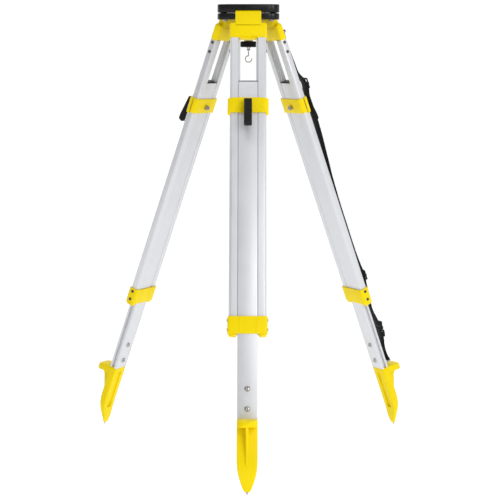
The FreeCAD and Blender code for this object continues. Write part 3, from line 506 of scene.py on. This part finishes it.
def build_collar():
    def face(sign):
        """One broad face with a fine groove each side of its middle panel."""
        points = []
        for x in (17.7, -17.7) if sign > 0 else (-17.7, 17.7):
            step = 0.5 * sign
            points += [(x + step, 12 * sign), (x + step * 0.4, 11.4 * sign), (x - step * 0.4, 11.4 * sign),
                       (x - step, 12 * sign)]
        return points
    outline = (arc(35.4, 5.5, 6.5, 0, 90) + face(1) + arc(-35.4, 5.5, 6.5, 90, 180)
               + arc(-35.4, -5.5, 6.5, 180, 270) + face(-1) + arc(35.4, -5.5, 6.5, 270, 360))
    mouth = oblong(-21.4, 21.4, -9.2, 9.2, 1.2, 3)
    socket = slab([oblong(-39.6, 39.6, -9.4, 9.4, 6, 5)], -712, -600, 0.01)
    lobe = slab([oblong(24, 39, -9.3, 9.3, 4, 5)], -721, -714, 1.8, steps=4)
    body = carve(slab([outline], -716, -679, 1.2, steps=3), socket,
                 slab([mouth], -730, -700, 0.01))
    leg_piece("lower_collar", joined(body, both_sides(lobe)), "upper_leg", "yellow_plastic")


def tube_loop(half, thick):
    """The flat tube's outline: small round corners, and a groove down each narrow side."""
    side = arc(half - 1.2, thick - 1.2, 1.2, 90, 0, 3)
    side += [(half, 3.4), (16.6, 3.4), (16.6, -3.4), (half, -3.4)]
    side += arc(half - 1.2, -thick + 1.2, 1.2, 0, -90, 3)
    return side + [(-x, -y) for x, y in side]


def build_tube():
    leg_piece("inner_tube", slab([tube_loop(21, 8.8)], -893, -163, 0.2), "lower_leg", "leg_aluminium")
    lid = slab([tube_loop(21, 8.8)], -163, -161, 0.4)
    crown = loft([ring(oblong(-15.8 + s, 15.8 - s, -7.8 + s, 7.8 - s, max(3.5 - s, 0.5), 4), z)
                  for s, z in ((0, -161.2), (0.3, -160.4), (1.2, -160.1), (3.5, -160))])
    leg_piece("tube_cap", joined(lid, crown), "lower_leg", "black_plastic")


def shell_loop(face, split):
    """The section of a half shell of the quick clamp."""
    outer = [(44.2, split)] + arc(35.2, face - 9, 9, 0, 90, 9) + arc(-35.2, face - 9, 9, 90, 180, 9) \
        + [(-44.2, split), (-39.9, split)]
    inner = arc(-34.4, 4.2, 5.5, 180, 90) + arc(34.4, 4.2, 5.5, 90, 0) + [(39.9, split)]
    return outer + inner


def build_clamp():
    pad = slab([oblong(-12, 12, 8.8, 10.3, 0.3, 2)], -232, -203, 0.1)
    rear = joined(slab([shell_loop(12.4, 1.5)], -234, -200, 1.1, steps=3), pad)
    rear = [Vector((-v[0], -v[1], v[2])) for v in rear[0]], rear[1]
    leg_piece("clamp_yoke", rear, "lower_leg", "yellow_plastic")

    base = slab([shell_loop(11.6, 1.5)], -234, -200.6, 1.0, steps=3)
    panel = slab([oblong(-221.5, -200, -35.5, 35.5, 1.6, 4)], 10.2, 12.4, 0.9, "y", 3)
    rib = slab([oblong(-234, -230.8, -35.3, 35.3, 1.2, 3)], 10.2, 12.2, 0.6, "y")
    lobe = slab([oblong(37.2, 44.2, 1.5, 9.6, (5.2, 1.5, 0.5, 0.5), 5)], -237, -231, 1.4, steps=3)
    leg_piece("clamp_plate", joined(base, panel, rib, pad, both_sides(lobe)), "lower_leg", "yellow_plastic")

    # the draw bolt: a hexagonal nut and washer behind the clamp, and an eye on the lever's pin
    turn = Matrix.Rotation(math.pi / 2, 4, "X")
    nut = moved(joined(lathe([(6, 12.4), (6, 13.4)], 32), hex_head(13.4, 20.4, 5.7),
                       lathe([(3, 20), (3, 21.9), (2.5, 22.4)], 20)), z=-219.5, turn=turn)
    stem = moved(lathe([(3, -24), (3, -11)], 24), z=-219.5, turn=turn)
    eye = moved(slab([circle(5.2)], -3.6, 3.6, 0.6, "x"), y=LEVER_PIN[0], z=LEVER_PIN[1])
    leg_piece("clamp_bolt", joined(nut, stem, eye), "lower_leg", "steel")
    pin = lathe([(2.5, -8.6), (3, -8.2), (3, 8.2), (2.5, 8.6)], 24, "x")
    leg_piece("lever_pin", moved(pin, y=LEVER_PIN[0], z=LEVER_PIN[1]), "lower_leg", "steel")


def build_lever():
    cam = arc(*LEVER_PIN, 11.9, 225, 92, 14)
    handle = ([(29.6, -208.6)] + arc(32.2, -212.2, 2.8, 75, 5, 4) + [(36.2, -219), (39, -236), (42.8, -258)]
              + arc(38.4, -264.6, 4.8, 20, -60, 5) + arc(34.6, -265.8, 5.6, -75, -150, 5)
              + [(27.8, -264), (26.6, -256), (23.4, -243), (18.4, -232)])
    slot = slab([oblong(10, 30.5, -225.3, -190, (0.2, 0.2, 5, 5), 5)], -4, 4, 0.01, "x")
    body = carve(slab([cam + handle], -8.5, 8.5, 1.3, "x", 3), slot)
    leg_piece("clamp_lever", body, "lever", "black_plastic")


def build_foot():
    """The moulded foot: a blade that narrows to the spike, with a step pedal on its outer side."""
    def at(u, table):
        for (u1, v1), (u2, v2) in zip(table, table[1:]):
            if u <= u2:
                return v1 + (v2 - v1) * (u - u1) / (u2 - u1)
        return table[-1][1]
    half = [(893, 21.5), (980, 21.5), (992, 20.6), (1004, 18.9), (1013, 16.5), (1022, 13.6), (1034, 8.8),
            (1040, 5.2)]
    inner = [(893, -9.5), (980, -9), (1004, -11), (1022, -15), (1034, -16.4), (1040, -15.9)]
    outer = [(893, 9.4), (960, 8.6), (980, 7.9), (992, 5.4), (1004, 1.4), (1022, -6.1), (1034, -10),
             (1040, -10.4)]
    rings = []
    for u in (893, 894, 897, 930, 960, 975, 984, *range(988, 1040, 4), 1039, 1040):
        w, low, high = at(u, half), at(u, inner), at(u, outer)
        inset = {893: 0.9, 894: 0.25, 1039: 0.2, 1040: 0.9}.get(u, 0)
        rings.append(ring(oblong(-w + inset, w - inset, low + inset, high - inset,
                                 min(3.2, w * 0.7, (high - low) * 0.4), 4), -u))
    blade = loft(rings)
    recess = slab([oblong(-1000, -903, -8, 8, 5, 5)], -30, -6, 0.01, "y")
    side = [(7, -893.5), (24, -896.4), (38, -899.8), (44, -902.3), (47.2, -904.8), (48.4, -908),
            (47.2, -911.6), (43.5, -914), (38, -914.5), (28, -912.8), (7, -911)]
    pedal = slab([side], -20, 20, 1.8, "x", 3)
    corner = slab([[(30, 26.5), (30, 60), (0, 60)] + arc(0, 26.5, 21.9, 90, 0, 14)], -930, -885, 0.01)
    rib = slab([[(7, -905), (41, -911.5), (42.4, -914.6), (35.2, -918.6), (30, -923.4), (27, -930),
                 (24.6, -937.4), (18, -955), (7, -990)]], -3, 3, 0.7, "x")
    pedal = carve(pedal, corner, mirrored(corner))
    leg_piece("foot", joined(carve(blade, recess), pedal, rib), "lower_leg", "yellow_plastic")
    spike = lathe([(0.5, -1045.5), (0.9, -1045), (2.4, -1040.5), (2.6, -1039)], 24)
    leg_piece("foot_spike", moved(spike, y=-13), "lower_leg", "steel")
    screw = button_head(6, 3)
    heads = []
    for depth in (831, 872.5):
        for sign in (-1, 1):
            turn = Matrix.Rotation(-sign * math.pi / 2, 4, "X")
            heads.append(moved(screw, y=8.8 * sign, z=-depth, turn=turn))
    leg_piece("foot_bolts", joined(*heads), "lower_leg", "steel")


# ---- carry strap ---------------------------------------------------------------------------

# depth down the leg, middle of the webbing across it, and height over the leg's middle plane
ROUTE = [(47, 13, 17.2), (60, 14.5, 13.6), (85, 17.5, 11.6), (104, 20.5, 11.2), (122, 22, 11.6),
         (140, 22, 12.6), (150, 22, 15.4), (162, 22, 21.8), (175, 22, 26), (190, 22, 24.4),
         (204, 22, 21.2), (232, 22, 21.8), (262, 22, 22.2), (298, 22, 20.9), (337, 22, 18.1),
         (375, 22, 15.3), (400, 22, 13.4), (463, 22, 11.2), (520, 22, 11), (564, 22, 11),
         (600, 22, 11.7), (632, 22, 14), (652, 22, 16.9), (672, 22, 14.2), (692, 21, 13.6),
         (717, 16.5, 13.6), (735, 10, 15), (752, 5, 18.6), (783, 2, 25.2), (824, 1.5, 25.4),
         (840, 1.2, 22), (857, 0.8, 20.6), (872, 0.3, 21.8), (884, 0, 25)]


def smooth_route(points, steps=8):
    """A Catmull-Rom curve through (depth, across, height) points, in the leg's frame."""
    ends = [points[0], *points, points[-1]]
    path = []
    for a, b, c, d in zip(ends, ends[1:], ends[2:], ends[3:]):
        for i in range(steps):
            t = i / steps
            path.append([0.5 * (2 * b[k] + (c[k] - a[k]) * t
                                + (2 * a[k] - 5 * b[k] + 4 * c[k] - d[k]) * t * t
                                + (3 * b[k] - a[k] - 3 * c[k] + d[k]) * t ** 3) for k in range(3)])
    path.append(list(points[-1]))
    return [Vector((w, n, -u)) for u, w, n in path]


def band(name, path, body, width=25.0, thick=1.6, nodes=()):
    """Flat webbing along a path, with its UV map in millimetres: across, then along.

    With no body it is only put in its place, and left off every body."""
    w, t = width / 2, thick / 2
    section = [(-w, 0), (-w + 0.5, t), (0, t + 0.12), (w - 0.5, t),
               (w, 0), (w - 0.5, -t), (0, -t - 0.12), (-w + 0.5, -t)]
    rings, lengths, total = [], [], 0.0
    for i, point in enumerate(path):
        along = (path[min(i + 1, len(path) - 1)] - path[max(i - 1, 0)]).normalized()
        across = (Vector((1, 0, 0)) - along * along.x).normalized()
        normal = across.cross(along).normalized() * -1
        rings.append([point + across * a + normal * b for a, b in section])
        total += (point - path[i - 1]).length if i else 0
        lengths.append(total)
    verts, faces = loft(rings)
    mesh = finished(name, (verts, faces), "webbing", 60)
    layer = mesh.uv_layers.new(name="weave")
    count = len(section)
    for polygon in mesh.polygons:
        for loop, vertex in zip(polygon.loop_indices, polygon.vertices):
            a, b = section[vertex % count]
            layer.data[loop].uv = (a + (0 if b >= 0 else 31), lengths[vertex // count])
    if body is None:
        return placed(name, mesh, LEG["right"])
    return show(name, mesh, body, nodes, LEG["right"])


def build_strap():
    path = smooth_route(ROUTE)
    split = next(i for i, p in enumerate(path) if -p.z > 826)
    band("strap_long_run", path[:split + 1], "upper_leg_right", nodes=("strap_webbing",))
    lower = band("strap_lower_run", path[split:], None)
    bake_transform(lower)
    # the second layer, doubled back between the two sliders and the top loop
    again = [(u, w, n + 1.9) for u, w, n in ROUTE if 165 < u < 660]
    band("strap_double_run", smooth_route(again), "upper_leg_right", 24.2)
    # the wraps through the loops at both ends
    for loop, name in (("strap_top_loop", "strap_top_wrap"), ("strap_foot_loop", "strap_foot_wrap")):
        u, w, _, n, part = LOOPS[loop]
        down = 1 if u < 100 else -1
        turn = [Vector((w, n + 2.6 * math.cos(a), -u + down * 2.6 * math.sin(a)))
                for a in (math.radians(k) for k in range(-60, 241, 20))]
        tail = [Vector((w, n - 2.2, -u - down * d)) for d in (5, 10, 16)]
        band(name, turn + tail, f"{part}_right", 24.6)

    def glide(z, n, lean):
        frame_loop = oblong(-13.9, 13.9, -12.5, 12.5, 3.2, 5)
        holes = [oblong(-11.8, 11.8, 1.6, 9.2, 1.2, 3), oblong(-11.8, 11.8, -9.2, -1.6, 1.2, 3)]
        plate = slab([frame_loop, *holes], -1.7, 1.7, 0.8, steps=3)
        bar = slab([oblong(-13.5, 13.5, -1.6, 1.6, 1.0, 3)], 0, 3.2, 0.9, steps=3)
        face = Matrix.Rotation(math.pi / 2, 4, "X")
        turn = Matrix.Rotation(lean, 4, "Y") @ face @ Matrix.Rotation(math.pi, 4, "X")
        return moved(joined(plate, bar), 23.05, n, z, turn)
    sliders = joined(glide(-175.5, 27.6, math.radians(3)), glide(-652, 18.3, 0))
    leg_right("strap_sliders", sliders, "upper_leg", "black_plastic")

    # a side-release buckle: the socket above, the prongs' half below
    face = Matrix.Rotation(math.pi / 2, 4, "X") @ Matrix.Rotation(math.pi, 4, "X")
    socket = slab([oblong(-16, 16, -12, 9, (3, 3, 4.5, 4.5), 5), oblong(-11.5, 11.5, 3.2, 6.4, 1, 3)],
                  -3.6, 3.6, 1.5, steps=4)
    window = slab([oblong(-19, -13.2, -7, 2, 2, 4)], -5, 5, 0.01)
    plug = slab([oblong(-14.5, 14.5, -9, 9, (4.5, 4.5, 2.5, 2.5), 5), oblong(-11.5, 11.5, -6, -2.6, 1, 3)],
                -2.8, 2.8, 1.3, steps=4)
    upper = moved(carve(socket, window, mirrored(window)), 2, 28.2, -795,
                  Matrix.Rotation(math.radians(-7), 4, "X") @ face)
    lower_half = moved(plug, 2, 28.6, -815, Matrix.Rotation(math.radians(-9), 4, "X") @ face)
    leg_right("strap_buckle", joined(upper, lower_half), "upper_leg", "black_plastic")

    # each wire loop: its depth, its middle across, the face that it stands on, and how far out its bar is
    for label, (u, w, base, out, part) in LOOPS.items():
        bar = moved(lathe([(1.7, -14.8), (1.7, 14.8)], 20, "x"), w, out, -u)
        ear = oblong(base, out + 1.7, -1.7, 1.7, (1.6, 0.4, 0.4, 1.6), 4)
        ears = [moved(slab([ear], low, high, 0.2, "x"), w, 0, -u) for low, high in ((-15, -13.8), (13.8, 15))]
        plate = moved(slab([oblong(-5, 5, -15, 15, 1.5, 3)], base, base + 1.2, 0.3, "y"), w, 0, -u)
        leg_right(label, joined(bar, plate, *ears), part, "steel")


def leg_right(name, shape, part, slot):
    show(name + "_piece", finished(name, shape, slot), f"{part}_right", (name,), LEG["right"])


# ---- studio --------------------------------------------------------------------------------

def area(name, place, target, size, power, color=(1, 1, 1)):
    light = bpy.data.lights.new(name, "AREA")
    light.shape = "RECTANGLE"
    light.size, light.size_y = size
    light.energy = power
    light.color = color
    obj = bpy.data.objects.new(name, light)
    bpy.context.scene.collection.objects.link(obj)
    obj.location = place
    obj.rotation_euler = (Vector(target) - Vector(place)).to_track_quat("-Z", "Y").to_euler()


def build_studio():
    corners = ((-40, -40), (40, -40), (40, 40), (-40, 40))
    floor = as_object("studio_floor", ([(x, y, FLOOR) for x, y in corners], [[0, 1, 2, 3]]))
    bpy.context.scene.collection.objects.link(floor)
    pale = material("floor_pale", (0.86, 0.86, 0.86), 0.6, grain=(60, 60, 60), bump=0.02, tint=0.004,
                    shine=0.1)
    glow = pale.node_tree.nodes["Principled BSDF"]
    glow.inputs["Emission Color"].default_value = (1, 1, 1, 1)
    glow.inputs["Emission Strength"].default_value = 0.42
    floor.data.materials.append(pale)

    world = bpy.data.worlds.new("studio")
    bpy.context.scene.world = world
    world.use_nodes = True
    nodes, links = world.node_tree.nodes, world.node_tree.links
    place = nodes.new("ShaderNodeTexCoord")
    facing = nodes.new("ShaderNodeVectorMath")
    facing.operation = "DOT_PRODUCT"
    facing.inputs[1].default_value = (-0.3, -0.95, 0.0)
    links.new(place.outputs["Generated"], facing.inputs[0])
    ramp = nodes.new("ShaderNodeMapRange")
    ramp.inputs["From Min"].default_value = -0.6
    ramp.inputs["From Max"].default_value = 0.8
    ramp.inputs["To Min"].default_value = 1.0
    ramp.inputs["To Max"].default_value = 0.3
    links.new(facing.outputs["Value"], ramp.inputs["Value"])
    links.new(ramp.outputs["Result"], nodes["Background"].inputs["Color"])
    nodes["Background"].inputs["Strength"].default_value = 1.03

    area("key", (1.5, -3.2, 0.9), (0, 0, -0.45), (1.8, 1.8), 52)
    area("top", (-0.4, -0.6, 2.6), (0, 0, -0.5), (2.4, 2.4), 14)
    area("rim", (-1.8, 2.4, 0.6), (0, 0, -0.4), (1.0, 2.0), 10)

    camera = bpy.data.cameras.new("camera")
    camera.lens = 108.04
    camera.sensor_width = 36
    camera.shift_x = 0.003
    camera.clip_end = 100
    obj = bpy.data.objects.new("camera", camera)
    bpy.context.scene.collection.objects.link(obj)
    obj.location = (0.0236, -3.3699, -0.131)
    obj.rotation_euler = (math.radians(90 - 7.05), 0, 0.007)
    bpy.context.scene.camera = obj
    bpy.context.scene.view_settings.view_transform = "Standard"


build_head()
build_screw()
build_bracket()
build_rails()
build_collar()
build_tube()
build_clamp()
build_lever()
build_foot()
build_strap()
build_studio()
